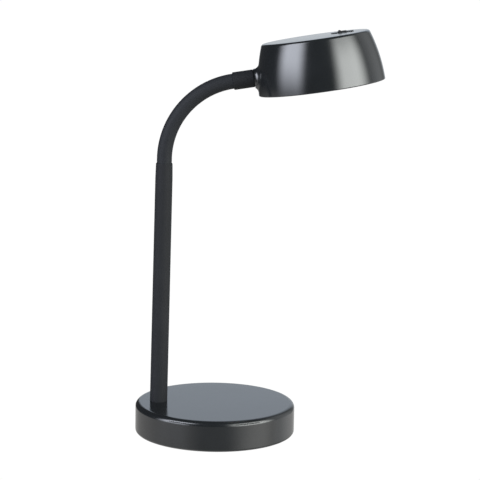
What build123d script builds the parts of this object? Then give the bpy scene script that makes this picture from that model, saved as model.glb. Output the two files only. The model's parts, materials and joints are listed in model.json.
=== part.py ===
"""Gooseneck desk lamp, in millimetres.

Frame: origin at the centre of the base's underside, +Z up, +X from the base towards the lamp head.
The post, the neck and the head's axis all lie in the XZ plane.
"""
from build123d import *
from math import cos, radians, sin, sqrt, tan
import os

os.makedirs("parts", exist_ok=True)

# ---------------------------------------------------------------- clearances
FIT = 0.25                    # gap round a piece that drops into place
TIGHT = 0.05                  # radial gap of a pressed, glued or threaded pair
BALL_CLEARANCE = 0.15         # radial gap between a ball end and its seat
SLIDE_CLEARANCE = 0.3         # gap round the moving switch slider

# ---------------------------------------------------------------- base
BASE_RADIUS = 75.0
BASE_HEIGHT = 29.0
BASE_TOP_ROUND = 4.4
BASE_BOTTOM_ROUND = 2.4
BASE_SIDE_WALL = 3.0
BASE_TOP_WALL = 2.4
SKIRT_LIFT = 0.8              # lower edge of the cover above the desk
PAD_THICKNESS = 1.3
PAD_MARGIN = 3.0              # bottom plate's edge beyond the pad
PLATE_THICKNESS = 2.0
WEIGHT_THICKNESS = 10.0
WEIGHT_MARGIN = 7.0           # cover's inner wall to the weight's edge
BOSS_INSET = 14.0             # cover's inner wall to the screw bosses' circle
BOSS_DIAMETER = 8.0
BOSS_COUNT = 4
BASE_SCREW_DIAMETER = 3.0
BASE_SCREW_HEAD = 5.8
BASE_SCREW_HEAD_HEIGHT = 1.6
BASE_SCREW_GRIP = 7.5         # length held in the boss
HUB_DIAMETER = 20.0
RIB_COUNT = 8
RIB_THICKNESS = 1.6
RIB_DEPTH = 6.0

# ---------------------------------------------------------------- DC inlet
JACK_HEIGHT = 9.6             # axis above the desk
JACK_BODY_LENGTH = 11.0
JACK_BODY_WIDTH = 9.0
JACK_BARREL_DIAMETER = 8.0
JACK_BORE_DIAMETER = 5.6
JACK_BORE_DEPTH = 9.0
JACK_PIN_DIAMETER = 2.0
JACK_PIN_SETBACK = 1.0        # pin's tip behind the mouth
JACK_RECESS = 0.4             # mouth behind the cover's surface
CRADLE_WALL = 1.6

# ---------------------------------------------------------------- post
POST_EDGE_INSET = 21.7        # base's edge to the post's axis at the foot
POST_LENGTH = 225.4
POST_LEAN = 0.84              # degrees from upright, towards the head
POST_FOOT_DIAMETER = 16.4
POST_SHOULDER_DIAMETER = 16.0
POST_TOP_DIAMETER = 15.4
POST_SWAGE_LENGTH = 14.0      # stretch below the top that narrows
POST_BORE = 12.4
POST_SEAT_DEPTH = 1.0
FOOT_BUSH_LENGTH = 15.0
TOP_BUSH_LENGTH = 12.0
EDGE_ROUND = 0.6              # small outer edges of the metal tubes

# ---------------------------------------------------------------- nipples, nuts and washers
NIPPLE_DIAMETER = 10.0
NIPPLE_BORE = 6.6
NIPPLE_GRIP = 12.0            # length inside the foot bush
NIPPLE_STANDOUT = 1.5         # thread beyond the nut
NUT_ACROSS_FLATS = 14.0
NUT_THICKNESS = 4.0
WASHER_DIAMETER = 17.0
WASHER_THICKNESS = 1.2
BASE_PAD_DIAMETER = 24.0      # thickening of the cover over its washer
MOUNT_PAD_THICKNESS = 2.0

# ---------------------------------------------------------------- neck
NECK_RADIUS = 74.0            # bend radius at rest
NECK_TURN = 80.0              # degrees of bend at rest
NECK_LEAD_IN = 4.4            # straight stretch above the post
PIVOT_COUNT = 7
LARGEST_SWING = 32.0          # degrees that one pivot may reach from straight
SLEEVE_DIAMETER = 13.9
SLEEVE_WALL = 1.5
CONDUIT_WALL = 1.7
SLEEVE_TUCK = 6.0             # sleeve inside the post's top and the collar
LEAD_DIAMETER = 3.2
LEAD_SETBACK = 1.0            # start of the lead's bend inside the end of the head's nipple

# ---------------------------------------------------------------- collar
COLLAR_DIAMETER = 16.3
COLLAR_LENGTH = 19.4
COLLAR_GRIP = 7.0             # nipple's length inside the collar
COLLAR_CONDUIT_DEPTH = 11.0

# ---------------------------------------------------------------- head shell
HEAD_RIM_RADIUS = 58.4
HEAD_TAPER = 8.85             # rim radius less the top's sharp radius
HEAD_HEIGHT = 46.6            # rim to the top's sharp corner
HEAD_SIDE_RADIUS = 145.0      # bulge of the side, seen from the side
HEAD_CROWN = 0.6              # rise of the slightly domed top over its edge
HEAD_TOP_ROUND = 3.0
HEAD_INNER_ROUND = 1.5        # corner between the inner side and the ceiling
HEAD_RIM_ROUND = 0.8
HEAD_SIDE_WALL = 2.2
HEAD_TOP_WALL = 2.2
NECK_RISE = 17.2              # neck's axis above the rim plane
NECK_BOSS_DIAMETER = 17.1
NECK_BOSS_STANDOUT = 2.1      # boss face beyond the rim's radius
NECK_BOSS_FLARE = 4.9
HEAD_POST_CIRCLE = 36.5       # radius of the posts that carry the spreader
HEAD_POST_DIAMETER = 7.0
HEAD_POST_COUNT = 4

# ---------------------------------------------------------------- light unit
DIFFUSER_RECESS = 2.4         # diffuser's face inside the rim
DIFFUSER_RADIUS = 53.0
DIFFUSER_THICKNESS = 2.0
RING_LIP = 1.2
RING_LIP_OVERLAP = 2.2
RING_HEIGHT = 5.6
REFLECTOR_WALL = 1.2
REFLECTOR_MOUTH_RADIUS = 46.0
REFLECTOR_THROAT_RADIUS = 28.0
REFLECTOR_BULGE = 60.0        # radius of the bowl's curve
BOARD_RADIUS = 33.0
BOARD_THICKNESS = 1.6
SPREADER_RADIUS = 42.0
SPREADER_THICKNESS = 2.0
CHIP_LENGTH = 3.5
CHIP_WIDTH = 2.8
CHIP_THICKNESS = 0.8
INNER_CHIP_CIRCLE = 12.0
OUTER_CHIP_CIRCLE = 22.0
INNER_CHIP_COUNT = 8
OUTER_CHIP_COUNT = 16
SMALL_SCREW_DIAMETER = 2.5
SMALL_SCREW_HEAD = 4.8
SMALL_SCREW_HEAD_HEIGHT = 1.6
SMALL_SCREW_GRIP = 6.0

# ---------------------------------------------------------------- driver
DRIVER_LENGTH = 36.0
DRIVER_WIDTH = 26.0
DRIVER_THICKNESS = 1.6
DRIVER_CENTRE = -11.0
DRIVER_HEADROOM = 2.0         # tallest driver part to the shell's ceiling
DRIVER_STANDOFF = 3.0
DRIVER_HOLE_INSET = 3.2
SPACER_DIAMETER = 5.0
COIL_DIAMETER = 8.0
COIL_HEIGHT = 6.0
CAPACITOR_DIAMETER = 5.0
CAPACITOR_HEIGHT = 7.5
TERMINAL_LENGTH = 7.0
TERMINAL_WIDTH = 8.0
TERMINAL_HEIGHT = 5.0
CONTROLLER_LENGTH = 4.0
CONTROLLER_WIDTH = 5.0
CONTROLLER_HEIGHT = 1.6

# ---------------------------------------------------------------- switch
SWITCH_OFFSET = 25.0          # head axis to the switch, away from the neck
SWITCH_TRAVEL = 2.0           # each way from the middle
PLATE_LENGTH = 20.5
PLATE_WIDTH = 9.5
PLATE_CORNER = 2.0
PLATE_STANDOUT = 0.6
PLATE_INLET = 0.6             # plate let into the shell's top
PLATE_CHAMFER = 0.2
STEM_LENGTH = 3.0
STEM_WIDTH = 4.0
KNOB_LENGTH = 7.8
KNOB_WIDTH = 6.4
KNOB_CORNER = 1.0
KNOB_GAP = 0.2                # knob's skirt above the plate
SKIRT_THICKNESS = 0.6
RIDGE_HEIGHT = 1.7            # finger ridge's crest above the plate
RIDGE_CREST = 0.9             # length of the ridge at its crest
RIDGE_FLANK = 1.15            # run of each of the ridge's flanks
RIDGE_ROUND = 0.3
SLIDER_LENGTH = 4.6
SLIDER_WIDTH = 5.2
SLIDER_HEIGHT = 2.2
FRAME_LENGTH = 13.0
FRAME_WIDTH = 8.4
FRAME_HEIGHT = 5.0
FRAME_FLOOR = 1.2
EAR_LENGTH = 4.5
EAR_WIDTH = 5.4
EAR_THICKNESS = 1.2
SWITCH_SCREW_DIAMETER = 1.8
SWITCH_SCREW_HEAD = 3.2
SWITCH_SCREW_LENGTH = 3.0
SWITCH_BOSS_DIAMETER = 4.4
SWITCH_BOSS_HEIGHT = 2.2
WIRE_DIAMETER = 1.3
WIRE_SPACING = 2.4
WIRE_BEND = 3.0

# ---------------------------------------------------------------- sizes that follow from the ones above
PLATE_TOP = PAD_THICKNESS + PLATE_THICKNESS
WEIGHT_TOP = PLATE_TOP + WEIGHT_THICKNESS
COVER_CEILING = BASE_HEIGHT - BASE_TOP_WALL
COVER_INNER_RADIUS = BASE_RADIUS - BASE_SIDE_WALL
BOSS_CIRCLE = COVER_INNER_RADIUS - BOSS_INSET
POST_X = POST_EDGE_INSET - BASE_RADIUS
JACK_REAR = COVER_INNER_RADIUS - FIT - JACK_BODY_LENGTH
CONDUIT_DIAMETER = SLEEVE_DIAMETER - 2 * SLEEVE_WALL - 2 * TIGHT
BALL_RADIUS = SLEEVE_DIAMETER / 2 / cos(radians(LARGEST_SWING / 2))
SEAT_RADIUS = BALL_RADIUS + BALL_CLEARANCE
PIVOT_TURN = NECK_TURN / PIVOT_COUNT
HALF_LINK = NECK_RADIUS * tan(radians(PIVOT_TURN / 2))
LINK_LENGTH = 2 * HALF_LINK
HEAD_CEILING = HEAD_HEIGHT - HEAD_TOP_WALL
DRIVER_TOP = HEAD_CEILING - DRIVER_HEADROOM - CAPACITOR_HEIGHT
DRIVER_LEVEL = DRIVER_TOP - DRIVER_THICKNESS
SPREADER_TOP = DRIVER_LEVEL - DRIVER_STANDOFF
SPREADER_LEVEL = SPREADER_TOP - SPREADER_THICKNESS
BOARD_LEVEL = SPREADER_LEVEL - BOARD_THICKNESS
NUT_ROOM = WASHER_THICKNESS + NUT_THICKNESS + NIPPLE_STANDOUT + FIT
UP = (Align.CENTER, Align.CENTER, Align.MIN)
DOWN = (Align.CENTER, Align.CENTER, Align.MAX)


# ---------------------------------------------------------------- frames of the arm
def along(point, heading, distance):
    """Point in the XZ plane at a distance from another, heading in degrees up from +X."""
    angle = radians(heading)
    return point[0] + distance * cos(angle), point[1] + distance * sin(angle)


def arm_frame(point, heading):
    """Plane at a point of the arm whose Z runs along the heading and whose Y is the lamp's Y."""
    angle = radians(heading)
    origin = (point[0], 0, point[1])
    return Plane(origin=origin, x_dir=(sin(angle), 0, -cos(angle)), z_dir=(cos(angle), 0, sin(angle)))


POST_HEADING = 90 - POST_LEAN
HEAD_TILT = POST_HEADING - NECK_TURN
POST_FOOT = (POST_X, BASE_HEIGHT)
POST_TOP = along(POST_FOOT, POST_HEADING, POST_LENGTH)
FIRST_LINK = NECK_LEAD_IN + HALF_LINK


def neck_pivots():
    """Pivot points of the neck, from the post to the head, with the heading of the link after each."""
    point, heading = along(POST_TOP, POST_HEADING, FIRST_LINK), POST_HEADING
    pivots = []
    for _ in range(PIVOT_COUNT):
        heading -= PIVOT_TURN
        pivots.append((point, heading))
        point = along(point, heading, LINK_LENGTH)
    return pivots


PIVOTS = neck_pivots()
NECK_END = along(PIVOTS[-1][0], HEAD_TILT, HALF_LINK)
BOSS_FACE_X = -(HEAD_RIM_RADIUS + NECK_BOSS_STANDOUT)
COLLAR_END = along(NECK_END, HEAD_TILT, COLLAR_LENGTH)
RIM_CENTRE = along(along(COLLAR_END, HEAD_TILT, -BOSS_FACE_X), HEAD_TILT + 90, -NECK_RISE)

POST_FRAME = arm_frame(POST_FOOT, POST_HEADING)
COLLAR_FRAME = arm_frame(NECK_END, HEAD_TILT)
HEAD_FRAME = Plane(
    origin=(RIM_CENTRE[0], 0, RIM_CENTRE[1]),
    x_dir=(cos(radians(HEAD_TILT)), 0, sin(radians(HEAD_TILT))),
    z_dir=(-sin(radians(HEAD_TILT)), 0, cos(radians(HEAD_TILT))),
)
# the neck's axis as the head sees it: Z runs into the head, origin on the boss face
BOSS_FRAME = Plane(origin=(BOSS_FACE_X, 0, NECK_RISE), x_dir=(0, 0, -1), z_dir=(1, 0, 0))


# ---------------------------------------------------------------- general shapes
def turned(*outline):
    """Solid of revolution about Z from its outline's corners (radius, height)."""
    return revolve(Plane.XZ * make_face(Polyline(*outline, close=True)), Axis.Z)


def tube(outer, inner, low, high):
    """Round tube about Z, by diameters; an inner diameter of 0 makes a rod."""
    return turned((inner / 2, low), (outer / 2, low), (outer / 2, high), (inner / 2, high))


def ring_places(radius, count, height, first_angle=0.0):
    """Places spaced evenly round Z at one height."""
    return [Pos(0, 0, height) * place for place in PolarLocations(radius, count, first_angle)]


def group(solids):
    """Several separate solids in one node."""
    return Compound(children=list(solids))


def pan_screw(diameter, head, head_height, length):
    """Screw along +Z with its head below z = 0 and a slightly domed head."""
    shank = Cylinder(diameter / 2, length, align=UP)
    cap = Cylinder(head / 2, head_height, align=DOWN)
    cap = fillet(cap.edges().group_by(Axis.Z)[0], head_height / 2)
    return shank + cap


def hex_nut():
    """Nut from z = 0 up."""
    body = extrude(RegularPolygon(NUT_ACROSS_FLATS / 2, 6, major_radius=False), NUT_THICKNESS)
    return body - Cylinder(NIPPLE_DIAMETER / 2 + TIGHT, NUT_THICKNESS, align=UP)


def washer():
    """Plain washer from z = 0 up."""
    return tube(WASHER_DIAMETER, NIPPLE_DIAMETER + 2 * FIT, 0, WASHER_THICKNESS)


# ---------------------------------------------------------------- base
def screw_places(height):
    return ring_places(BOSS_CIRCLE, BOSS_COUNT, height, 180 / BOSS_COUNT)


def base_cover():
    """Moulded cover: rounded drum, open below, with bosses, ribs, post seat and inlet cradle."""
    drum_height = BASE_HEIGHT - SKIRT_LIFT
    drum = Pos(0, 0, SKIRT_LIFT) * Cylinder(BASE_RADIUS, drum_height, align=UP)
    drum = fillet(drum.edges().group_by(Axis.Z)[-1], BASE_TOP_ROUND)
    drum = fillet(drum.edges().group_by(Axis.Z)[0], BASE_BOTTOM_ROUND)
    room = Pos(0, 0, SKIRT_LIFT) * Cylinder(COVER_INNER_RADIUS, COVER_CEILING - SKIRT_LIFT, align=UP)
    cover = drum - room

    rib_length = COVER_INNER_RADIUS + BASE_SIDE_WALL / 2
    rib = Pos(rib_length / 2, 0, 0) * Box(rib_length, RIB_THICKNESS, RIB_DEPTH, align=DOWN)
    for index in range(RIB_COUNT):
        cover += Pos(0, 0, COVER_CEILING) * Rot(0, 0, index * 360 / RIB_COUNT) * rib
    cover += Pos(0, 0, COVER_CEILING) * Cylinder(HUB_DIAMETER / 2, RIB_DEPTH, align=DOWN)

    boss_height = COVER_CEILING - WEIGHT_TOP
    screw_bore = BASE_SCREW_DIAMETER / 2 + TIGHT
    for place in screw_places(WEIGHT_TOP):
        cover += place * Cylinder(BOSS_DIAMETER / 2, boss_height, align=UP)
    for place in screw_places(WEIGHT_TOP):
        cover -= place * Cylinder(screw_bore, BASE_SCREW_GRIP + FIT, align=UP)

    cradle_length = JACK_BODY_LENGTH + BASE_SIDE_WALL / 2
    cradle_x = JACK_REAR + cradle_length / 2
    cradle_low = JACK_HEIGHT - JACK_BODY_WIDTH / 2
    cradle = Box(cradle_length, CRADLE_WALL, COVER_CEILING - cradle_low, align=UP)
    cradle_y = JACK_BODY_WIDTH / 2 + FIT + CRADLE_WALL / 2
    for side in (-1, 1):
        cover += Pos(-cradle_x, side * cradle_y, cradle_low) * cradle
    barrel_hole = Cylinder(JACK_BARREL_DIAMETER / 2 + FIT, 3 * BASE_SIDE_WALL)
    cover -= Pos(-BASE_RADIUS, 0, JACK_HEIGHT) * Rot(0, 90, 0) * barrel_hole

    pad_low = BASE_TOP_WALL + MOUNT_PAD_THICKNESS
    pad_high = BASE_TOP_WALL / 2
    nut_room = Cylinder(WASHER_DIAMETER / 2 + 2 * FIT, NUT_ROOM, align=DOWN)
    cover -= POST_FRAME * Pos(0, 0, -pad_low) * nut_room
    pad = Cylinder(BASE_PAD_DIAMETER / 2, pad_low - pad_high, align=DOWN)
    cover += POST_FRAME * Pos(0, 0, -pad_high) * pad
    cover -= POST_FRAME * Cylinder(NIPPLE_DIAMETER / 2 + FIT, 2 * pad_low, align=DOWN)
    return cover - POST_FRAME * Cylinder(POST_FOOT_DIAMETER / 2 + TIGHT, 2 * POST_SEAT_DEPTH)


def base_weight():
    """Steel disc that keeps the lamp upright, open round the inlet and the post's nut."""
    disc = Pos(0, 0, PLATE_TOP) * Cylinder(COVER_INNER_RADIUS - WEIGHT_MARGIN, WEIGHT_THICKNESS, align=UP)
    for place in screw_places(PLATE_TOP):
        disc -= place * Cylinder(BASE_SCREW_DIAMETER / 2 + FIT, WEIGHT_THICKNESS, align=UP)
    pocket_length = POST_EDGE_INSET + WASHER_DIAMETER / 2
    pocket_width = JACK_BODY_WIDTH + 2 * (2 * FIT + CRADLE_WALL)
    pocket = Box(pocket_length, pocket_width, WEIGHT_THICKNESS, align=(Align.MIN, Align.CENTER, Align.MIN))
    return disc - Pos(-BASE_RADIUS, 0, PLATE_TOP) * pocket


def base_plate():
    """Bottom plate with countersunk holes."""
    plate = Pos(0, 0, PAD_THICKNESS) * Cylinder(COVER_INNER_RADIUS - FIT, PLATE_THICKNESS, align=UP)
    for place in screw_places(PAD_THICKNESS):
        plate -= place * Cylinder(BASE_SCREW_DIAMETER / 2 + FIT, PLATE_THICKNESS, align=UP)
        plate -= place * countersunk_head(TIGHT)
    return plate


def countersunk_head(gap):
    """Cone of a countersunk head from z = 0 up, grown by a gap."""
    low, high = BASE_SCREW_HEAD / 2 + gap, BASE_SCREW_DIAMETER / 2 + gap
    return Cone(low, high, BASE_SCREW_HEAD_HEIGHT, align=UP)


def base_screws():
    length = PLATE_THICKNESS + WEIGHT_THICKNESS + BASE_SCREW_GRIP
    screw = Cylinder(BASE_SCREW_DIAMETER / 2, length, align=UP) + countersunk_head(0)
    return group(place * screw for place in screw_places(PAD_THICKNESS))


def base_pad():
    """Non-slip disc under the bottom plate."""
    return Cylinder(COVER_INNER_RADIUS - FIT - PAD_MARGIN, PAD_THICKNESS, align=UP)


# ---------------------------------------------------------------- DC inlet
def inlet_frame():
    """Plane at the inlet's mouth, with Z out of the base."""
    return Plane(origin=(JACK_RECESS - BASE_RADIUS, 0, JACK_HEIGHT), x_dir=(0, 0, 1), z_dir=(-1, 0, 0))


JACK_DEPTH = BASE_RADIUS - JACK_RECESS - JACK_REAR


def dc_inlet():
    """Barrel jack: square body behind the wall, round barrel through it."""
    front = JACK_DEPTH - JACK_BODY_LENGTH
    body = Pos(0, 0, -front) * Box(JACK_BODY_WIDTH, JACK_BODY_WIDTH, JACK_BODY_LENGTH, align=DOWN)
    jack = body + Cylinder(JACK_BARREL_DIAMETER / 2, front, align=DOWN)
    jack -= Cylinder(JACK_BORE_DIAMETER / 2, JACK_BORE_DEPTH, align=DOWN)
    jack -= Pos(0, 0, -JACK_BORE_DEPTH) * Cylinder(JACK_PIN_DIAMETER / 2 + TIGHT, JACK_DEPTH, align=DOWN)
    return inlet_frame() * jack


def dc_inlet_pin():
    """Centre pin with a rounded tip."""
    pin = Pos(0, 0, -JACK_PIN_SETBACK) * Cylinder(
        JACK_PIN_DIAMETER / 2, JACK_DEPTH - JACK_PIN_SETBACK, align=DOWN)
    pin = fillet(pin.edges().group_by(Axis.Z)[-1], JACK_PIN_DIAMETER / 4)
    return inlet_frame() * pin


# ---------------------------------------------------------------- post
def post_tube():
    """Slightly tapered tube, swaged at the top, counterbored for the sleeve."""
    foot, shoulder, top = POST_FOOT_DIAMETER / 2, POST_SHOULDER_DIAMETER / 2, POST_TOP_DIAMETER / 2
    mouth = SLEEVE_DIAMETER / 2 + TIGHT
    tuck = POST_LENGTH - SLEEVE_TUCK
    return POST_FRAME * turned(
        (POST_BORE / 2, -POST_SEAT_DEPTH), (foot, -POST_SEAT_DEPTH), (foot, 0),
        (shoulder, POST_LENGTH - POST_SWAGE_LENGTH), (top, POST_LENGTH - EDGE_ROUND),
        (top - EDGE_ROUND / 2, POST_LENGTH), (mouth, POST_LENGTH), (mouth, tuck), (POST_BORE / 2, tuck))


def post_foot_bush():
    """Steel plug in the post's foot, threaded for the nipple."""
    outer, inner = POST_BORE - 2 * TIGHT, NIPPLE_DIAMETER + 2 * TIGHT
    return POST_FRAME * tube(outer, inner, -POST_SEAT_DEPTH, FOOT_BUSH_LENGTH - POST_SEAT_DEPTH)


def post_top_bush():
    """Plug in the post's top that grips the end of the conduit."""
    high = POST_LENGTH - SLEEVE_TUCK
    outer, inner = POST_BORE - 2 * TIGHT, CONDUIT_DIAMETER + 2 * TIGHT
    return POST_FRAME * tube(outer, inner, high - TOP_BUSH_LENGTH, high)


POST_WASHER_LEVEL = -(BASE_TOP_WALL + MOUNT_PAD_THICKNESS + WASHER_THICKNESS)
POST_NUT_LEVEL = POST_WASHER_LEVEL - NUT_THICKNESS


def post_nipple():
    high = NIPPLE_GRIP - POST_SEAT_DEPTH
    return POST_FRAME * tube(NIPPLE_DIAMETER, NIPPLE_BORE, POST_NUT_LEVEL - NIPPLE_STANDOUT, high)


def post_washer():
    return POST_FRAME * Pos(0, 0, POST_WASHER_LEVEL) * washer()


def post_nut():
    return POST_FRAME * Pos(0, 0, POST_NUT_LEVEL) * hex_nut()


# ---------------------------------------------------------------- neck
def neck_piece(outer, inner, low, high, seat=False, ball=False):
    """Round piece of the neck about Z. A seat hollows its low end round the pivot at z = low,
    and a ball rounds its high end about the pivot at z = high; a plain end is flat there."""
    def corner(level, sphere, radius):
        return radius, level + (sqrt(sphere ** 2 - radius ** 2) if sphere else 0)

    def end(level, sphere):
        first, middle, last = (corner(level, sphere, r) for r in (inner / 2, (inner + outer) / 4, outer / 2))
        return ThreePointArc(first, middle, last) if sphere else Line(first, last)

    bottom = end(low, SEAT_RADIUS if seat else 0)
    top = end(high, BALL_RADIUS if ball else 0)
    sides = Line(bottom @ 0, top @ 0) + Line(bottom @ 1, top @ 1)
    return revolve(Plane.XZ * make_face(bottom + top + sides), Axis.Z)


SLEEVE = (SLEEVE_DIAMETER, SLEEVE_DIAMETER - 2 * SLEEVE_WALL)
CONDUIT = (CONDUIT_DIAMETER, CONDUIT_DIAMETER - 2 * CONDUIT_WALL)
LEAD = (LEAD_DIAMETER, 0)


def root_piece(section, low):
    """Neck piece fixed in the post, from a level of the post up to the first ball."""
    return POST_FRAME * neck_piece(*section, low, POST_LENGTH + FIRST_LINK, ball=True)


def link_piece(section, index):
    """Neck piece from one pivot to the next."""
    point, heading = PIVOTS[index - 1]
    return arm_frame(point, heading) * neck_piece(*section, 0, LINK_LENGTH, seat=True, ball=True)


def end_piece(section, depth):
    """Neck piece from the last pivot to a depth inside the collar."""
    point, heading = PIVOTS[-1]
    return arm_frame(point, heading) * neck_piece(*section, 0, HALF_LINK + depth, seat=True)


def base_lead():
    """Lead from the inlet, up through the nipple and the post, to the first ball."""
    entry = along(POST_FOOT, POST_HEADING, -(BASE_HEIGHT - JACK_HEIGHT) / cos(radians(POST_LEAN)))
    start = (-JACK_REAR, JACK_HEIGHT)
    joint = along(POST_FOOT, POST_HEADING, FOOT_BUSH_LENGTH)
    bend = (entry[0] - start[0]) * 0.9
    corners = [(x, 0, z) for x, z in (start, entry, joint)]
    route = FilletPolyline(*corners, radius=bend)
    section = Plane(origin=route @ 0, z_dir=route % 0) * Circle(LEAD_DIAMETER / 2)
    return sweep(section, route) + root_piece(LEAD, FOOT_BUSH_LENGTH)


# ---------------------------------------------------------------- collar and head fixing
def neck_collar():
    """Collar that joins the neck's end to the head's nipple."""
    sleeve_bore = SLEEVE_DIAMETER / 2 + TIGHT
    conduit_bore = CONDUIT_DIAMETER / 2 + TIGHT
    nipple_bore = NIPPLE_DIAMETER / 2 + TIGHT
    lead_bore = NIPPLE_BORE / 2
    outer, grip = COLLAR_DIAMETER / 2, COLLAR_LENGTH - COLLAR_GRIP
    return COLLAR_FRAME * turned(
        (sleeve_bore, 0), (outer - EDGE_ROUND, 0), (outer, EDGE_ROUND),
        (outer, COLLAR_LENGTH - EDGE_ROUND), (outer - EDGE_ROUND, COLLAR_LENGTH),
        (nipple_bore, COLLAR_LENGTH), (nipple_bore, grip), (lead_bore, grip),
        (lead_bore, COLLAR_CONDUIT_DEPTH), (conduit_bore, COLLAR_CONDUIT_DEPTH),
        (conduit_bore, SLEEVE_TUCK), (sleeve_bore, SLEEVE_TUCK))


def shell_radius(height, wall):
    """Radius of the head's side at a height above the rim plane, a wall inside its surface."""
    centre_x, centre_z = side_centre()
    return centre_x + sqrt((HEAD_SIDE_RADIUS - wall) ** 2 - (height - centre_z) ** 2)


def side_centre():
    """Centre of the arc through the rim's and the top's sharp corners."""
    chord = sqrt(HEAD_TAPER ** 2 + HEAD_HEIGHT ** 2)
    reach = sqrt(HEAD_SIDE_RADIUS ** 2 - chord ** 2 / 4)
    middle_x, middle_z = HEAD_RIM_RADIUS - HEAD_TAPER / 2, HEAD_HEIGHT / 2
    return middle_x - reach * HEAD_HEIGHT / chord, middle_z - reach * HEAD_TAPER / chord


HEAD_PAD_FACE = -(shell_radius(NECK_RISE, HEAD_SIDE_WALL) - MOUNT_PAD_THICKNESS)
HEAD_WASHER_DEPTH = HEAD_PAD_FACE - BOSS_FACE_X
HEAD_NUT_DEPTH = HEAD_WASHER_DEPTH + WASHER_THICKNESS
HEAD_NIPPLE_END = HEAD_NUT_DEPTH + NUT_THICKNESS + NIPPLE_STANDOUT


def crown_rise(radius, edge):
    """Rise of the domed top over its edge, at a radius."""
    dome_radius = (edge ** 2 + HEAD_CROWN ** 2) / (2 * HEAD_CROWN)
    return sqrt(dome_radius ** 2 - radius ** 2) - dome_radius + HEAD_CROWN


def bowl(wall, top_wall, corner_round):
    """Solid bowl with the head's outline, inside its surface by the two walls."""
    height = HEAD_HEIGHT - top_wall
    edge = shell_radius(height, wall)
    rim, corner, apex = (shell_radius(0, wall), 0), (edge, height), (0, height + HEAD_CROWN)
    side = ThreePointArc(rim, (shell_radius(height / 2, wall), height / 2), corner)
    top = ThreePointArc(corner, (edge / 2, height + crown_rise(edge / 2, edge)), apex)
    face = make_face(side + top + Line(apex, (0, 0)) + Line((0, 0), rim))
    sharp = face.vertices().sort_by(Axis.Y)[-2:].sort_by(Axis.X)[-1]
    return revolve(Plane.XZ * fillet(sharp, corner_round), Axis.Z)


def boss_root(shell):
    """Edge where the neck boss meets the head's side."""
    side_x = -shell_radius(NECK_RISE, 0)
    smallest, largest = NECK_BOSS_DIAMETER / 2, 2 * NECK_BOSS_DIAMETER
    return shell.edges().filter_by(
        lambda e: abs(e.center().X - side_x) < 3 and smallest < e.bounding_box().size.Y < largest)


def head_shell():
    """Moulded bowl with a flared neck boss, inner posts, switch slot and switch bosses."""
    outer = bowl(0, 0, HEAD_TOP_ROUND)
    outer = fillet(outer.edges().group_by(Axis.Z)[0], HEAD_RIM_ROUND)
    overlap = 2 * NECK_BOSS_FLARE
    boss = Cylinder(NECK_BOSS_DIAMETER / 2, 3 * overlap, align=UP)
    shell = outer + BOSS_FRAME * Pos(0, 0, -overlap) * boss
    shell = fillet(boss_root(shell), NECK_BOSS_FLARE)
    shell -= BOSS_FRAME * Cylinder(HEAD_RIM_RADIUS / 2, 2 * overlap, align=DOWN)
    shell -= bowl(HEAD_SIDE_WALL, HEAD_TOP_WALL, HEAD_INNER_ROUND)

    pad_reach = HEAD_SIDE_WALL / 2 + MOUNT_PAD_THICKNESS
    pad = Pos(0, 0, HEAD_WASHER_DEPTH) * Cylinder(WASHER_DIAMETER / 2 + 2 * FIT, pad_reach, align=DOWN)
    shell += BOSS_FRAME * pad
    shell -= BOSS_FRAME * Cylinder(NIPPLE_DIAMETER / 2 + TIGHT, HEAD_WASHER_DEPTH, align=UP)

    post_height = HEAD_CEILING + HEAD_TOP_WALL / 2 - SPREADER_TOP
    for place in head_post_places(SPREADER_TOP):
        shell += place * Cylinder(HEAD_POST_DIAMETER / 2, post_height, align=UP)
    for place in head_post_places(SPREADER_TOP):
        shell -= place * Cylinder(SMALL_SCREW_DIAMETER / 2 + TIGHT, SMALL_SCREW_GRIP + FIT, align=UP)

    boss_height = SWITCH_BOSS_HEIGHT + HEAD_TOP_WALL / 2
    for place in switch_screw_places(FRAME_TOP):
        shell += place * Cylinder(SWITCH_BOSS_DIAMETER / 2, boss_height, align=UP)
    for place in switch_screw_places(FRAME_TOP):
        shell -= place * Cylinder(SWITCH_SCREW_DIAMETER / 2 + TIGHT, SWITCH_SCREW_LENGTH, align=UP)
    pocket = rounded_bar(PLATE_LENGTH + 2 * TIGHT, PLATE_WIDTH + 2 * TIGHT, 2 * PLATE_INLET, PLATE_CORNER)
    shell -= Pos(SWITCH_OFFSET, 0, PLATE_TOP_LEVEL - PLATE_STANDOUT - PLATE_INLET) * pocket
    return shell - Pos(SWITCH_OFFSET, 0, HEAD_HEIGHT) * Box(SLOT_LENGTH, SLOT_WIDTH, 3 * HEAD_TOP_WALL)


def head_post_places(height):
    return ring_places(HEAD_POST_CIRCLE, HEAD_POST_COUNT, height, 180 / HEAD_POST_COUNT)


def head_nipple():
    low = -COLLAR_GRIP + FIT
    return BOSS_FRAME * tube(NIPPLE_DIAMETER, NIPPLE_BORE, low, HEAD_NIPPLE_END)


def head_washer():
    return BOSS_FRAME * Pos(0, 0, HEAD_WASHER_DEPTH) * washer()


def head_nut():
    return BOSS_FRAME * Pos(0, 0, HEAD_NUT_DEPTH) * hex_nut()


# ---------------------------------------------------------------- light unit
def diffuser_ring():
    """Ring in the shell's mouth whose lip carries the diffuser."""
    lip_low = DIFFUSER_RECESS - RING_LIP
    top = lip_low + RING_HEIGHT
    outer = shell_radius(top, HEAD_SIDE_WALL) - FIT
    inner = DIFFUSER_RADIUS + FIT
    lip = DIFFUSER_RADIUS - RING_LIP_OVERLAP
    return turned((lip, lip_low), (outer, lip_low), (outer, top), (inner, top), (inner, DIFFUSER_RECESS),
                  (lip, DIFFUSER_RECESS))


def diffuser():
    return Pos(0, 0, DIFFUSER_RECESS) * Cylinder(DIFFUSER_RADIUS, DIFFUSER_THICKNESS, align=UP)


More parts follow.
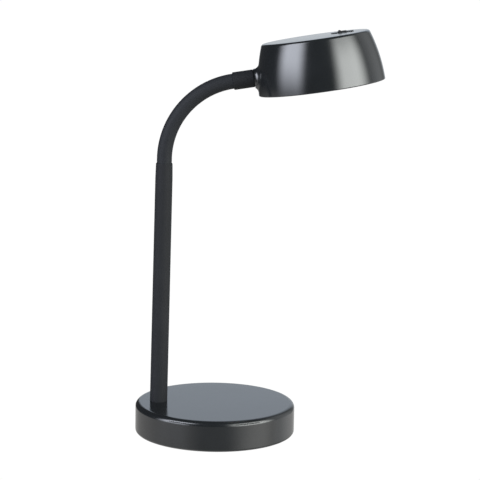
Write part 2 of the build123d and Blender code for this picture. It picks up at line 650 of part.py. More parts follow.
def reflector():
    """Thin bowl between the diffuser and the LED board."""
    low = DIFFUSER_RECESS + DIFFUSER_THICKNESS
    mouth, throat, wall = REFLECTOR_MOUTH_RADIUS, REFLECTOR_THROAT_RADIUS, REFLECTOR_WALL
    inside = RadiusArc((mouth, low), (throat, BOARD_LEVEL), -REFLECTOR_BULGE)
    outside = RadiusArc((mouth + wall, low + wall), (throat + wall, BOARD_LEVEL), -REFLECTOR_BULGE - wall)
    flange = Polyline((mouth, low), (DIFFUSER_RADIUS, low), (DIFFUSER_RADIUS, low + wall),
                      (mouth + wall, low + wall))
    throat_edge = Line((throat, BOARD_LEVEL), (throat + wall, BOARD_LEVEL))
    return revolve(Plane.XZ * make_face(inside + outside + flange + throat_edge), Axis.Z)


def reflector_reach(height):
    """Radius at a height of the straight line between the reflector's outer edges; its curve lies inside."""
    low = DIFFUSER_RECESS + DIFFUSER_THICKNESS + REFLECTOR_WALL
    slope = (REFLECTOR_MOUTH_RADIUS - REFLECTOR_THROAT_RADIUS) / (BOARD_LEVEL - low)
    return REFLECTOR_MOUTH_RADIUS + REFLECTOR_WALL - slope * (height - low)


def led_board():
    return Pos(0, 0, BOARD_LEVEL) * Cylinder(BOARD_RADIUS, BOARD_THICKNESS, align=UP)


def led_chips():
    """Rings of LED packages on the board's lower face."""
    chip = Box(CHIP_LENGTH, CHIP_WIDTH, CHIP_THICKNESS, align=DOWN)
    places = []
    for radius, count in ((INNER_CHIP_CIRCLE, INNER_CHIP_COUNT), (OUTER_CHIP_CIRCLE, OUTER_CHIP_COUNT)):
        places += ring_places(radius, count, BOARD_LEVEL)
    return group(place * chip for place in places)


def heat_spreader():
    """Aluminium plate on the shell's posts, notched for the lead."""
    plate = Pos(0, 0, SPREADER_LEVEL) * Cylinder(SPREADER_RADIUS, SPREADER_THICKNESS, align=UP)
    for place in head_post_places(SPREADER_LEVEL):
        plate -= place * Cylinder(SMALL_SCREW_DIAMETER / 2 + FIT, SPREADER_THICKNESS, align=UP)
    for place in driver_screw_places(SPREADER_LEVEL):
        plate -= place * Cylinder(SMALL_SCREW_DIAMETER / 2 + TIGHT, SPREADER_THICKNESS, align=UP)
    notch_width = LEAD_DIAMETER + 4 * FIT
    notch = Box(SPREADER_RADIUS, notch_width, SPREADER_THICKNESS, align=(Align.MAX, Align.CENTER, Align.MIN))
    return plate - Pos(LEAD_DIAMETER - LEAD_RISE_X, 0, SPREADER_LEVEL) * notch


def spreader_screws():
    length = SPREADER_THICKNESS + SMALL_SCREW_GRIP
    screw = pan_screw(SMALL_SCREW_DIAMETER, SMALL_SCREW_HEAD, SMALL_SCREW_HEAD_HEIGHT, length)
    return group(place * screw for place in head_post_places(SPREADER_LEVEL))


# ---------------------------------------------------------------- driver
def driver_screw_places(height):
    """Corners of the driver board."""
    x_step = DRIVER_LENGTH - 2 * DRIVER_HOLE_INSET
    y_step = DRIVER_WIDTH - 2 * DRIVER_HOLE_INSET
    return [Pos(DRIVER_CENTRE, 0, height) * place for place in GridLocations(x_step, y_step, 2, 2)]


def driver_board():
    centre = Pos(DRIVER_CENTRE, 0, DRIVER_LEVEL)
    board = centre * Box(DRIVER_LENGTH, DRIVER_WIDTH, DRIVER_THICKNESS, align=UP)
    for place in driver_screw_places(DRIVER_LEVEL):
        board -= place * Cylinder(SMALL_SCREW_DIAMETER / 2 + FIT, DRIVER_THICKNESS, align=UP)
    return board


def driver_spacers():
    spacer = tube(SPACER_DIAMETER, SMALL_SCREW_DIAMETER + 2 * FIT, 0, DRIVER_STANDOFF)
    return group(place * spacer for place in driver_screw_places(SPREADER_TOP))


def driver_screws():
    length = DRIVER_THICKNESS + DRIVER_STANDOFF + SPREADER_THICKNESS
    screw = pan_screw(SMALL_SCREW_DIAMETER, SMALL_SCREW_HEAD, SMALL_SCREW_HEAD_HEIGHT, length)
    return group(place * Rot(180, 0, 0) * screw for place in driver_screw_places(DRIVER_TOP))


TERMINAL_X = DRIVER_CENTRE - DRIVER_LENGTH / 2 + TERMINAL_LENGTH / 2


def driver_parts():
    """Terminal block, coil, capacitor and controller on the driver board."""
    side_x, side_y = DRIVER_CENTRE + COIL_DIAMETER, COIL_DIAMETER / 2
    terminal = Box(TERMINAL_LENGTH, TERMINAL_WIDTH, TERMINAL_HEIGHT, align=UP)
    coil = Cylinder(COIL_DIAMETER / 2, COIL_HEIGHT, align=UP)
    capacitor = Cylinder(CAPACITOR_DIAMETER / 2, CAPACITOR_HEIGHT, align=UP)
    controller = Box(CONTROLLER_LENGTH, CONTROLLER_WIDTH, CONTROLLER_HEIGHT, align=UP)
    return group((
        Pos(TERMINAL_X, 0, DRIVER_TOP) * terminal,
        Pos(DRIVER_CENTRE, 0, DRIVER_TOP) * coil,
        Pos(side_x, side_y, DRIVER_TOP) * capacitor,
        Pos(side_x, -side_y, DRIVER_TOP) * controller,
    ))


HEAD_NIPPLE_X = BOSS_FACE_X + HEAD_NIPPLE_END
# the lead rises midway between the nipple's end and the reflector
LEAD_RISE_X = (reflector_reach(NECK_RISE - LEAD_DIAMETER / 2) - HEAD_NIPPLE_X) / 2
LEAD_TERMINAL_Z = DRIVER_TOP + TERMINAL_HEIGHT / 2


def head_lead():
    """Lead from the last ball seat, through collar and nipple, up past the spreader to the driver."""
    inner_start = HEAD_NIPPLE_X - LEAD_SETBACK
    terminal_face = TERMINAL_X - TERMINAL_LENGTH / 2
    corners = ((inner_start, NECK_RISE), (-LEAD_RISE_X, NECK_RISE), (-LEAD_RISE_X, LEAD_TERMINAL_Z),
               (terminal_face, LEAD_TERMINAL_Z))
    bend = 0.9 * min(-LEAD_RISE_X - inner_start, terminal_face + LEAD_RISE_X)
    route = FilletPolyline(*[(x, 0, z) for x, z in corners], radius=bend)
    section = Plane(origin=route @ 0, z_dir=route % 0) * Circle(LEAD_DIAMETER / 2)
    depth = COLLAR_LENGTH + inner_start - BOSS_FACE_X
    return HEAD_FRAME * sweep(section, route) + end_piece(LEAD, depth)


# ---------------------------------------------------------------- switch
SLOT_LENGTH = STEM_LENGTH + 2 * (SWITCH_TRAVEL + SLIDE_CLEARANCE)
SLOT_WIDTH = STEM_WIDTH + 2 * SLIDE_CLEARANCE
FRAME_TOP = HEAD_CEILING - SWITCH_BOSS_HEIGHT
PLATE_TOP_LEVEL = HEAD_HEIGHT + crown_rise(SWITCH_OFFSET, shell_radius(HEAD_HEIGHT, 0)) + PLATE_STANDOUT
SCREW_PITCH = FRAME_LENGTH + EAR_LENGTH


def switch_screw_places(height):
    return [Pos(SWITCH_OFFSET, 0, height) * place for place in GridLocations(SCREW_PITCH, 1, 2, 1)]


def rounded_bar(length, width, height, corner):
    """Bar from z = 0 up whose upright edges are rounded."""
    bar = Box(length, width, height, align=UP)
    return fillet(bar.edges().filter_by(Axis.Z), corner)


def switch_plate():
    """Slotted plate let into the head's top."""
    thickness = PLATE_INLET + PLATE_STANDOUT
    plate = rounded_bar(PLATE_LENGTH, PLATE_WIDTH, thickness, PLATE_CORNER)
    plate = chamfer(plate.edges().group_by(Axis.Z)[-1], PLATE_CHAMFER)
    plate -= Box(SLOT_LENGTH, SLOT_WIDTH, thickness, align=UP)
    return Pos(SWITCH_OFFSET, 0, PLATE_TOP_LEVEL - thickness) * plate


def switch_frame():
    """Housing of the slide switch, with a track for the slider and two ears."""
    centre = Pos(SWITCH_OFFSET, 0, FRAME_TOP)
    frame = centre * Box(FRAME_LENGTH, FRAME_WIDTH, FRAME_HEIGHT, align=DOWN)
    ears_length = FRAME_LENGTH + 2 * EAR_LENGTH
    frame += centre * Box(ears_length, EAR_WIDTH, EAR_THICKNESS, align=DOWN)
    track_length = SLIDER_LENGTH + 2 * (SWITCH_TRAVEL + SLIDE_CLEARANCE)
    track = Box(track_length, SLIDER_WIDTH + 2 * SLIDE_CLEARANCE, FRAME_HEIGHT - FRAME_FLOOR, align=DOWN)
    frame -= centre * track
    for place in switch_screw_places(FRAME_TOP):
        frame -= place * Cylinder(SWITCH_SCREW_DIAMETER / 2 + TIGHT, EAR_THICKNESS, align=DOWN)
    return frame


def thumb_piece():
    """Flat skirt with a finger ridge across its end towards the neck; z = 0 is the plate's top."""
    skirt_top = KNOB_GAP + SKIRT_THICKNESS
    end = KNOB_LENGTH / 2
    crest_start = RIDGE_FLANK - end
    crest_end = crest_start + RIDGE_CREST
    ridge_end = crest_end + RIDGE_FLANK
    profile = Polyline((-end, KNOB_GAP), (end, KNOB_GAP), (end, skirt_top), (ridge_end, skirt_top),
                       (crest_end, RIDGE_HEIGHT), (crest_start, RIDGE_HEIGHT), (-end, skirt_top), close=True)
    thumb = extrude(Plane.XZ * make_face(profile), KNOB_WIDTH / 2, both=True)
    thumb = fillet(thumb.edges().filter_by(Axis.Y).group_by(Axis.Z)[-1], RIDGE_ROUND)
    return thumb & rounded_bar(KNOB_LENGTH, KNOB_WIDTH, RIDGE_HEIGHT, KNOB_CORNER)


def switch_knob():
    """Slider block, stem and thumb piece."""
    slider_low = FRAME_TOP - FRAME_HEIGHT + FRAME_FLOOR + SLIDE_CLEARANCE
    stem_height = PLATE_TOP_LEVEL + KNOB_GAP + SKIRT_THICKNESS / 2 - slider_low
    slider = Pos(0, 0, slider_low) * Box(SLIDER_LENGTH, SLIDER_WIDTH, SLIDER_HEIGHT, align=UP)
    stem = Pos(0, 0, slider_low) * Box(STEM_LENGTH, STEM_WIDTH, stem_height, align=UP)
    return Pos(SWITCH_OFFSET, 0, 0) * (slider + stem + Pos(0, 0, PLATE_TOP_LEVEL) * thumb_piece())


def switch_screws():
    screw_head = SWITCH_SCREW_HEAD / 4
    length = EAR_THICKNESS + SWITCH_SCREW_LENGTH - FIT
    screw = pan_screw(SWITCH_SCREW_DIAMETER, SWITCH_SCREW_HEAD, screw_head, length)
    return group(place * screw for place in switch_screw_places(FRAME_TOP - EAR_THICKNESS))


def switch_wires():
    """Two short wires from the switch to the driver board."""
    board_edge = DRIVER_CENTRE + DRIVER_LENGTH / 2
    wire_top = DRIVER_TOP + WIRE_DIAMETER / 2
    end_x = SWITCH_OFFSET - FRAME_LENGTH / 2
    start_x = board_edge - 2 * WIRE_BEND
    level = FRAME_TOP - FRAME_HEIGHT + WIRE_DIAMETER
    step = (start_x + end_x) / 2
    corners = ((start_x, wire_top), (step, wire_top), (step + abs(level - wire_top), level), (end_x, level))
    wires = []
    for side in (-1, 1):
        y = side * WIRE_SPACING / 2
        path = Polyline(*[(x, y, z) for x, z in corners])
        section = Plane(origin=path @ 0, z_dir=path % 0) * Circle(WIRE_DIAMETER / 2)
        wires.append(sweep(section, path, transition=Transition.ROUND))
    return group(wires)


# ---------------------------------------------------------------- all pieces
def lamp_pieces():
    """Every node by name, in place."""
    pieces = {
        "base_cover": base_cover(),
        "base_weight": base_weight(),
        "base_plate": base_plate(),
        "base_screws": base_screws(),
        "base_pad": base_pad(),
        "dc_inlet": dc_inlet(),
        "dc_inlet_pin": dc_inlet_pin(),
        "post_tube": post_tube(),
        "post_foot_bush": post_foot_bush(),
        "post_top_bush": post_top_bush(),
        "post_nipple": post_nipple(),
        "post_washer": post_washer(),
        "post_nut": post_nut(),
        "base_lead": base_lead(),
        "neck_root_sleeve": root_piece(SLEEVE, POST_LENGTH - SLEEVE_TUCK),
        "neck_root_conduit": root_piece(CONDUIT, POST_LENGTH - SLEEVE_TUCK - TOP_BUSH_LENGTH),
    }
    for index in range(1, PIVOT_COUNT):
        pieces[f"neck_sleeve_{index}"] = link_piece(SLEEVE, index)
        pieces[f"neck_conduit_{index}"] = link_piece(CONDUIT, index)
        pieces[f"neck_lead_{index}"] = link_piece(LEAD, index)
    pieces["neck_end_sleeve"] = end_piece(SLEEVE, SLEEVE_TUCK)
    pieces["neck_end_conduit"] = end_piece(CONDUIT, COLLAR_CONDUIT_DEPTH)
    pieces["neck_collar"] = neck_collar()
    pieces["head_lead"] = head_lead()
    head_pieces = {
        "head_shell": head_shell,
        "head_nipple": head_nipple,
        "head_washer": head_washer,
        "head_nut": head_nut,
        "diffuser_ring": diffuser_ring,
        "diffuser": diffuser,
        "reflector": reflector,
        "led_board": led_board,
        "led_chips": led_chips,
        "heat_spreader": heat_spreader,
        "spreader_screws": spreader_screws,
        "driver_board": driver_board,
        "driver_spacers": driver_spacers,
        "driver_screws": driver_screws,
        "driver_parts": driver_parts,
        "switch_plate": switch_plate,
        "switch_frame": switch_frame,
        "switch_screws": switch_screws,
        "switch_wires": switch_wires,
        "switch_knob": switch_knob,
    }
    for name, make in head_pieces.items():
        pieces[name] = HEAD_FRAME * make()
    return pieces


for name, piece in lamp_pieces().items():
    export_step(piece, f"parts/{name}.step")
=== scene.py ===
"""Gooseneck desk lamp: looks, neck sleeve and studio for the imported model, in metres."""
import json
import math

import bpy
from mathutils import Matrix, Vector


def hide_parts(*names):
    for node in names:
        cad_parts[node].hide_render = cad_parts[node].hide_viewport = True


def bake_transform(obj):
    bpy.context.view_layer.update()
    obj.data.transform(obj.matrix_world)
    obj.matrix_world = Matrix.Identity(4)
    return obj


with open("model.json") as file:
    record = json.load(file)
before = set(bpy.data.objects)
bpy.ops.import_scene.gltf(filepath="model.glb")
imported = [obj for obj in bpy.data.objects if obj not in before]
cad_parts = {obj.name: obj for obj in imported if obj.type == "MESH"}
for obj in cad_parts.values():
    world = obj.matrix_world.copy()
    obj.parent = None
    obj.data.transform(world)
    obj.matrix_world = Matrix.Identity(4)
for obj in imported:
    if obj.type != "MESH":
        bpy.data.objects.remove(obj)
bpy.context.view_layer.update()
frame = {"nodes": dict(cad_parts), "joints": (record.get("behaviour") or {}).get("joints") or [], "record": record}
NODES = frame["nodes"]
JOINTS = {joint["name"]: joint for joint in frame["joints"]}


# ---------------------------------------------------------------- node trees
NOISE_RANGE = (0.25, 0.75)    # noise values at the two ends of a spread
TINT_STOPS = (0.3, 0.7)       # noise values of the darker and the lighter tint


class Nodes:
    """Small helper that adds and links the nodes of one material or world."""

    def __init__(self, tree):
        self.tree = tree

    def add(self, kind, **values):
        node = self.tree.nodes.new(kind)
        for name, value in values.items():
            setattr(node, name, value)
        return node

    def link(self, source, target):
        self.tree.links.new(source, target)

    def noise(self, coordinates, scale, detail=2.0, roughness=0.5):
        node = self.add("ShaderNodeTexNoise")
        node.inputs["Scale"].default_value = scale
        node.inputs["Detail"].default_value = detail
        node.inputs["Roughness"].default_value = roughness
        self.link(coordinates, node.inputs["Vector"])
        return node.outputs["Fac"]

    def spread(self, source, low, high):
        """Number from low to high, by a noise."""
        node = self.add("ShaderNodeMapRange")
        node.inputs["From Min"].default_value = NOISE_RANGE[0]
        node.inputs["From Max"].default_value = NOISE_RANGE[1]
        node.inputs["To Min"].default_value = low
        node.inputs["To Max"].default_value = high
        self.link(source, node.inputs["Value"])
        return node.outputs["Result"]

    def tint(self, source, dark, light):
        """Colour between two tints, by a noise."""
        node = self.add("ShaderNodeValToRGB")
        first, last = node.color_ramp.elements
        first.position, first.color = TINT_STOPS[0], (*dark, 1)
        last.position, last.color = TINT_STOPS[1], (*light, 1)
        self.link(source, node.inputs["Fac"])
        return node.outputs["Color"]

    def bump(self, source, depth, normal=None):
        """Normal raised by a noise, on top of another one if given."""
        node = self.add("ShaderNodeBump")
        node.inputs["Strength"].default_value = 1.0
        node.inputs["Distance"].default_value = depth
        self.link(source, node.inputs["Height"])
        if normal is not None:
            self.link(normal, node.inputs["Normal"])
        return node.outputs["Normal"]


# ---------------------------------------------------------------- materials
MATERIALS = {}


def surface(name, colour, roughness, *, vary=0.12, rough_spread=0.04, cloud=60.0,
            grain=0.0, grain_depth=0.0, pebble=0.0, pebble_depth=0.0, stretch=None, **fixed):
    """Adds a procedural material: clouded colour and roughness, fine grain and coarser pebble as bump.

    cloud, grain and pebble are noise scales in 1/m, and the depths are in m. vary is the share by which the
    colour changes. stretch scales the bump's coordinates, for a brushed look. fixed sets further sockets.
    """
    material = bpy.data.materials.new(name)
    material.use_nodes = True
    tree = material.node_tree
    build = Nodes(tree)
    shader = tree.nodes["Principled BSDF"]
    place = build.add("ShaderNodeTexCoord").outputs["Object"]
    clouds = build.noise(place, cloud, 4.0, 0.6)
    dark = tuple(c * (1 - vary) for c in colour)
    light = tuple(min(1.0, c * (1 + vary)) for c in colour)
    build.link(build.tint(clouds, dark, light), shader.inputs["Base Color"])
    build.link(build.spread(clouds, roughness - rough_spread, roughness + rough_spread),
               shader.inputs["Roughness"])
    if stretch is not None:
        mapping = build.add("ShaderNodeMapping")
        mapping.inputs["Scale"].default_value = stretch
        build.link(place, mapping.inputs["Vector"])
        place = mapping.outputs["Vector"]
    normal = None
    if pebble:
        normal = build.bump(build.noise(place, pebble, 2.0), pebble_depth)
    if grain:
        normal = build.bump(build.noise(place, grain, 3.0, 0.6), grain_depth, normal)
    if normal is not None:
        build.link(normal, shader.inputs["Normal"])
    for socket, value in fixed.items():
        shader.inputs[socket.replace("_", " ")].default_value = value
    MATERIALS[name] = material


surface("black_gloss_plastic", (0.0046, 0.0052, 0.0057), 0.16, vary=0.10, rough_spread=0.02, cloud=35.0,
        grain=2600.0, grain_depth=0.0000035, pebble=420.0, pebble_depth=0.000004, IOR=1.38)
surface("black_satin_paint", (0.0078, 0.0082, 0.0091), 0.60, vary=0.10, rough_spread=0.03, cloud=45.0,
        grain=2400.0, grain_depth=0.000012, pebble=900.0, pebble_depth=0.000014, IOR=1.12)
surface("black_matte_plastic", (0.006, 0.0062, 0.0066), 0.42, vary=0.10, cloud=80.0,
        grain=3200.0, grain_depth=0.000012, IOR=1.4)
surface("neck_sleeve_rubber", (0.0080, 0.0086, 0.0098), 0.60, vary=0.08, rough_spread=0.04, cloud=60.0,
        grain=2200.0, grain_depth=0.000014, pebble=500.0, pebble_depth=0.000012, IOR=1.14)
surface("zinc_steel", (0.55, 0.56, 0.58), 0.34, vary=0.12, rough_spread=0.08, cloud=120.0,
        grain=1800.0, grain_depth=0.000010, stretch=(1.0, 1.0, 6.0), Metallic=1.0)
surface("pad_rubber", (0.030, 0.030, 0.032), 0.85, vary=0.2, cloud=200.0,
        grain=1500.0, grain_depth=0.00008, pebble=600.0, pebble_depth=0.00006)
surface("lead_jacket", (0.018, 0.018, 0.019), 0.5, cloud=100.0,
        grain=2500.0, grain_depth=0.00001)
surface("inlet_pin_brass", (0.72, 0.60, 0.32), 0.26, cloud=300.0,
        grain=4000.0, grain_depth=0.000004, Metallic=1.0)
surface("spreader_aluminium", (0.70, 0.71, 0.72), 0.38, vary=0.08, cloud=90.0,
        grain=900.0, grain_depth=0.00001, stretch=(1.0, 12.0, 1.0), Metallic=1.0)
surface("board_white", (0.82, 0.82, 0.80), 0.35, vary=0.04, cloud=120.0,
        grain=3000.0, grain_depth=0.000004)
surface("chip_yellow", (0.85, 0.70, 0.24), 0.3, vary=0.1, cloud=900.0,
        grain=5000.0, grain_depth=0.000004)
surface("reflector_white", (0.86, 0.86, 0.85), 0.3, vary=0.03, cloud=60.0,
        grain=2500.0, grain_depth=0.000004)
surface("diffuser_opal", (0.82, 0.82, 0.80), 0.42, vary=0.03, rough_spread=0.04, cloud=70.0,
        grain=2600.0, grain_depth=0.00001, pebble=900.0, pebble_depth=0.000012,
        Subsurface_Weight=0.35, Subsurface_Scale=0.003, IOR=1.49)
surface("driver_green", (0.03, 0.20, 0.08), 0.3, vary=0.15, cloud=300.0,
        grain=1800.0, grain_depth=0.000012)
surface("driver_components", (0.045, 0.045, 0.048), 0.5, vary=0.2, cloud=400.0,
        grain=2500.0, grain_depth=0.00001)
surface("spacer_nylon", (0.78, 0.78, 0.74), 0.45, vary=0.05, cloud=300.0,
        grain=2500.0, grain_depth=0.000006, Subsurface_Weight=0.2, Subsurface_Scale=0.002)

SLOT_OF = {part["node"]: part["material_slot"] for part in frame["record"]["subparts"]}
for node_name, node_object in NODES.items():
    material = MATERIALS[SLOT_OF[node_name]]
    if node_object.data.materials:
        for index in range(len(node_object.data.materials)):
            node_object.data.materials[index] = material
    else:
        node_object.data.materials.append(material)


# ---------------------------------------------------------------- neck sleeve
PIVOT_COUNT = 7
NECK_RADIUS = 0.074           # bend radius at rest
LEAD_IN = 0.0044              # straight stretch between the post's top and the bend
SLEEVE_RADIUS = 0.00695
SLEEVE_BORE_RADIUS = 0.00545
SLEEVE_TUCK = 0.0059          # sleeve hidden in the post's top and in the collar
BEND_REACH = 0.0090           # how far a bend pivot's section of the sleeve reaches along it, to either side
RING_STEP = 0.0006            # distance between the mesh's rings, along the neck
RING_POINTS = 96
SHARP_EDGE = 40               # degrees


def turn_kind(k):
    """What pivot k does: the odd ones bend the neck, the even ones sway it."""
    return "bend" if k % 2 else "sway"


PIVOTS = [Vector(JOINTS[f"neck_{turn_kind(k)}_{k}"]["pos_m"]) for k in range(1, PIVOT_COUNT + 1)]


def heading(direction):
    """Angle of a direction in the XZ plane, up from +X."""
    return math.atan2(direction.z, direction.x)


LINK = (PIVOTS[1] - PIVOTS[0]).length
PIVOT_TURN = 2 * math.atan(LINK / 2 / NECK_RADIUS)
START_HEADING = heading(PIVOTS[1] - PIVOTS[0]) + PIVOT_TURN
PITCH = NECK_RADIUS * PIVOT_TURN
ARC_LENGTH = PITCH * PIVOT_COUNT
ARC_START = PIVOTS[0] - LINK / 2 * Vector((math.cos(START_HEADING), 0, math.sin(START_HEADING)))
ARC_CENTRE = ARC_START + NECK_RADIUS * Vector((math.sin(START_HEADING), 0, -math.cos(START_HEADING)))


def centreline(distance):
    """Point and heading of the neck's axis at a distance from the start of the bend."""
    within = min(max(distance, 0.0), ARC_LENGTH)
    angle = START_HEADING - within / NECK_RADIUS
    along = Vector((math.cos(angle), 0, math.sin(angle)))
    point = ARC_CENTRE + NECK_RADIUS * Vector((-math.sin(angle), 0, math.cos(angle)))
    return point + (distance - within) * along, along


def sleeve_mesh(name, low, high):
    """Closed tube round the neck's axis between two distances."""
    count = max(2, round((high - low) / RING_STEP))
    vertices, faces = [], []
    for radius in (SLEEVE_RADIUS, SLEEVE_BORE_RADIUS):
        for step in range(count + 1):
            point, along = centreline(low + (high - low) * step / count)
            side = Vector((-along.z, 0, along.x))
            for corner in range(RING_POINTS):
                turn = 2 * math.pi * corner / RING_POINTS
                outward = math.cos(turn) * side + math.sin(turn) * Vector((0, 1, 0))
                vertices.append(point + radius * outward)
    inner = (count + 1) * RING_POINTS
    for corner in range(RING_POINTS):
        after = (corner + 1) % RING_POINTS
        for step in range(count):
            near = step * RING_POINTS
            far = near + RING_POINTS
            faces.append((near + corner, near + after, far + after, far + corner))
            faces.append((inner + near + after, inner + near + corner,
                          inner + far + corner, inner + far + after))
        last = count * RING_POINTS
        faces.append((corner, inner + corner, inner + after, after))
        faces.append((last + after, inner + last + after, inner + last + corner, last + corner))
    mesh = bpy.data.meshes.new(name)
    mesh.from_pydata([tuple(v) for v in vertices], [], faces)
    mesh.validate()
    mesh.polygons.foreach_set("use_smooth", [True] * len(mesh.polygons))
    mesh.update()
    mesh.set_sharp_from_angle(angle=math.radians(SHARP_EDGE))
    return mesh


def new_piece(name, mesh, slot):
    """Adds a piece that is modelled here, in its slot's material."""
    piece = bpy.data.objects.new(name, mesh)
    bpy.context.scene.collection.objects.link(piece)
    mesh.materials.clear()
    mesh.materials.append(MATERIALS[slot])
    return piece


# how far each kind of pivot's section of the sleeve reaches along it, to either side
REACH = {"bend": BEND_REACH, "sway": PITCH - BEND_REACH}


def pivot_place(k):
    """Distance of pivot k from the start of the bend."""
    return (k - 0.5) * PITCH


def neck_skins():
    """One section of the sleeve round each pivot, in place of the imported sleeve pieces, which are hidden."""
    low = -(LEAD_IN + SLEEVE_TUCK)
    for k in range(1, PIVOT_COUNT + 1):
        reach = REACH[turn_kind(k)]
        high = pivot_place(k) + reach if k < PIVOT_COUNT else ARC_LENGTH + SLEEVE_TUCK
        piece = new_piece(f"neck_skin_{k}", sleeve_mesh(f"neck_skin_{k}", low, high), "neck_sleeve_rubber")
        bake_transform(piece)
        replaced = [f"neck_sleeve_{k}" if k < PIVOT_COUNT else "neck_end_sleeve"]
        if k == 1:
            replaced.append("neck_root_sleeve")
        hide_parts(*replaced)
        low = high


neck_skins()


# ---------------------------------------------------------------- studio
WHITE = (1, 1, 1)
BACKGROUND = 1.02             # brightness of the table and of what lies behind it, as the camera sees them
SOFTBOX_LEAN = 0.16           # radians of azimuth that the left softbox gains per radian of elevation


def studio_world():
    """The room round the lamp, which lights it and shows in its gloss. The camera sees plain white instead.

    Azimuths and elevations are directions as seen from the lamp, in degrees.
    """
    world = bpy.data.worlds.new("studio")
    world.use_nodes = True
    bpy.context.scene.world = world
    tree = world.node_tree
    tree.nodes.clear()
    build = Nodes(tree)
    axes = build.add("ShaderNodeSeparateXYZ")
    build.link(build.add("ShaderNodeTexCoord").outputs["Generated"], axes.inputs["Vector"])

    def feed(value, socket):
        """Sets a socket to a number, or links an output to it."""
        if isinstance(value, (int, float)):
            socket.default_value = value
        else:
            build.link(value, socket)

    def maths(operation, *values):
        node = build.add("ShaderNodeMath", operation=operation)
        for value, socket in zip(values, node.inputs):
            feed(value, socket)
        return node.outputs[0]

    def ramp(angle, start, end, rising):
        """0 to 1 between two angles in degrees, or 1 to 0."""
        node = build.add("ShaderNodeMapRange", interpolation_type="SMOOTHSTEP")
        node.inputs["From Min"].default_value = math.radians(start)
        node.inputs["From Max"].default_value = math.radians(end)
        node.inputs["To Min"].default_value = 0.0 if rising else 1.0
        node.inputs["To Max"].default_value = 1.0 if rising else 0.0
        build.link(angle, node.inputs["Value"])
        return node.outputs["Result"]

    x, y, z = (axes.outputs[name] for name in "XYZ")
    # azimuths in front run from the camera's side towards +X, and behind from +Y towards +X
    in_front = maths("ARCTAN2", x, maths("MULTIPLY", y, -1.0))
    behind = maths("ARCTAN2", x, y)
    elevation = maths("ARCSINE", z)
    leaning = maths("SUBTRACT", in_front, maths("MULTIPLY", elevation, SOFTBOX_LEAN))

    def glow(strength, colour=WHITE, azimuth=None, widths=None, heights=None):
        """Part of the room. widths and heights say where it starts, is full, begins to fade and has gone."""
        level = strength
        for angle, bounds in ((azimuth, widths), (elevation, heights)):
            if bounds is not None:
                start, full, fading, gone = bounds
                level = maths("MULTIPLY", level, ramp(angle, start, full, True))
                level = maths("MULTIPLY", level, ramp(angle, fading, gone, False))
        light = build.add("ShaderNodeBackground")
        light.inputs["Color"].default_value = (*colour, 1)
        feed(level, light.inputs["Strength"])
        return light.outputs[0]

    warm_white = (1.02, 1.00, 0.97)
    on_the_table = (-91, -90.5, -14, -7)
    panel_widths = (-14, -6, 15, 35)
    studio = glow(0.06)
    for extra in (
        # left softbox
        glow(17.0, (0.95, 0.99, 1.10), leaning, (-95, -70, -51, -29.5), (-18, 16, 35, 52)),
        # right softbox, and its light on the table
        glow(17.4, (0.97, 1.00, 0.98), in_front, (16, 41, 65, 99), (-13, 4, 21, 56)),
        glow(2.35, (1.01, 1.00, 0.97), in_front, (14, 62, 70, 110), (-40, -19, -12, -2)),
        # table, its part under the lamp, and its lit left
        glow(0.52, warm_white, heights=on_the_table),
        glow(0.80, heights=(-91, -90.5, -60, -28)),
        glow(0.72, warm_white, in_front, (-150, -90, -45, -15), on_the_table),
        # wall on the right
        glow(1.20, (0.97, 1.00, 1.02), in_front, (88, 104, 112, 160), (-27, -9, 35, 60)),
        # panel behind, and its lower edge
        glow(0.93, (0.87, 0.98, 1.12), behind, panel_widths, (4, 13, 40, 60)),
        glow(0.79, (0.94, 1.00, 1.06), behind, panel_widths, (-19, -6, 4, 13)),
    ):
        both = build.add("ShaderNodeAddShader")
        build.link(studio, both.inputs[0])
        build.link(extra, both.inputs[1])
        studio = both.outputs[0]
    plain = build.add("ShaderNodeBackground")
    plain.inputs["Color"].default_value = (*WHITE, 1)
    plain.inputs["Strength"].default_value = BACKGROUND
    mix = build.add("ShaderNodeMixShader")
    build.link(build.add("ShaderNodeLightPath").outputs["Is Camera Ray"], mix.inputs["Fac"])
    build.link(studio, mix.inputs[1])
    build.link(plain.outputs[0], mix.inputs[2])
    build.link(mix.outputs[0], build.add("ShaderNodeOutputWorld").inputs["Surface"])


studio_world()

TABLE_REACH = 3.0             # half width
TABLE_GAP = 0.0002            # just below the pad, so that the two faces don't meet
FLAG_DISTANCE = 0.40          # from the base's centre
FLAG_HALF_WIDTH = 0.13
FLAG_HEIGHTS = (0.075, 0.21)  # lower and upper edge
FLAG_GLOW = 0.3


def glowing(name, strength):
    """Material that glows evenly in white."""
    material = bpy.data.materials.new(name)
    material.use_nodes = True
    tree = material.node_tree
    tree.nodes.clear()
    build = Nodes(tree)
    light = build.add("ShaderNodeEmission")
    light.inputs["Color"].default_value = (*WHITE, 1)
    light.inputs["Strength"].default_value = strength
    build.link(light.outputs[0], build.add("ShaderNodeOutputMaterial").inputs["Surface"])
    return material


def studio_card(name, corners, material):
    """Flat card that casts no shadow and gives matt surfaces no light."""
    mesh = bpy.data.meshes.new(name)
    mesh.from_pydata([tuple(corner) for corner in corners], [], [(0, 1, 2, 3)])
    mesh.materials.append(material)
    card = bpy.data.objects.new(name, mesh)
    card.visible_diffuse = card.visible_transmission = card.visible_shadow = False
    bpy.context.scene.collection.objects.link(card)
    return card


def white_table():
    """Plain white table top. The room already holds its light on the lamp, so only the camera sees it."""
    around = ((-1, -1), (1, -1), (1, 1), (-1, 1))
    corners = [(x * TABLE_REACH, y * TABLE_REACH, -TABLE_GAP) for x, y in around]
    table = studio_card("table_top", corners, glowing("table_white", BACKGROUND))
    table.visible_glossy = False


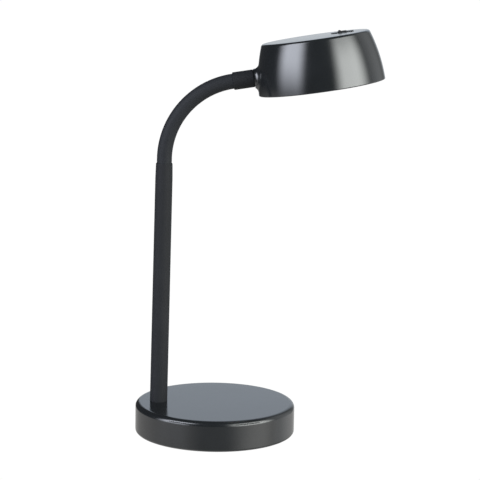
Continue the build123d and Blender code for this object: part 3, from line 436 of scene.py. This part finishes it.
def flag(name, azimuth):
    """Dim card before the lower part of a softbox, seen only in reflections.

    It keeps the base's top from glaring when seen from behind.
    """
    turn = math.radians(azimuth)
    centre = FLAG_DISTANCE * Vector((math.sin(turn), -math.cos(turn), 0))
    across = FLAG_HALF_WIDTH * Vector((math.cos(turn), math.sin(turn), 0))
    low, high = (Vector((0, 0, height)) for height in FLAG_HEIGHTS)
    corners = [centre - across + low, centre + across + low, centre + across + high, centre - across + high]
    card = studio_card(name, corners, glowing(name, FLAG_GLOW))
    card.visible_camera = False


white_table()
flag("right_flag", 45)
flag("left_flag", -45)

settings = bpy.context.scene.view_settings
settings.view_transform = "Standard"
settings.look = "None"
settings.exposure = 0.0
settings.gamma = 1.0


# ---------------------------------------------------------------- camera
CAMERA_PLACE = (0.0, -1.5458, 0.43665)
CAMERA_LENS = 126.33
CAMERA_SENSOR = 36.0
CAMERA_PAN = 0.013611         # radians, towards +X
CAMERA_TILT = 0.16231         # radians, downwards
CAMERA_ROLL = 0.016882        # radians
CAMERA_CLIP = (0.05, 50.0)


def place_camera():
    """Camera of the photograph: it looks along +Y, panned, tilted down and rolled a little."""
    cos_pan, sin_pan = math.cos(CAMERA_PAN), math.sin(CAMERA_PAN)
    cos_tilt, sin_tilt = math.cos(CAMERA_TILT), math.sin(CAMERA_TILT)
    forward = Vector((sin_pan * cos_tilt, cos_pan * cos_tilt, -sin_tilt))
    level = Vector((cos_pan, -sin_pan, 0.0))
    upright = level.cross(forward)
    right = math.cos(CAMERA_ROLL) * level + math.sin(CAMERA_ROLL) * upright
    up = -math.sin(CAMERA_ROLL) * level + math.cos(CAMERA_ROLL) * upright
    data = bpy.data.cameras.new("photo_camera")
    data.sensor_width = CAMERA_SENSOR
    data.lens = CAMERA_LENS
    data.clip_start, data.clip_end = CAMERA_CLIP
    camera = bpy.data.objects.new("photo_camera", data)
    turn = Matrix((right, up, -forward)).transposed()
    camera.matrix_world = Matrix.Translation(CAMERA_PLACE) @ turn.to_4x4()
    bpy.context.scene.collection.objects.link(camera)
    bpy.context.scene.camera = camera


place_camera()
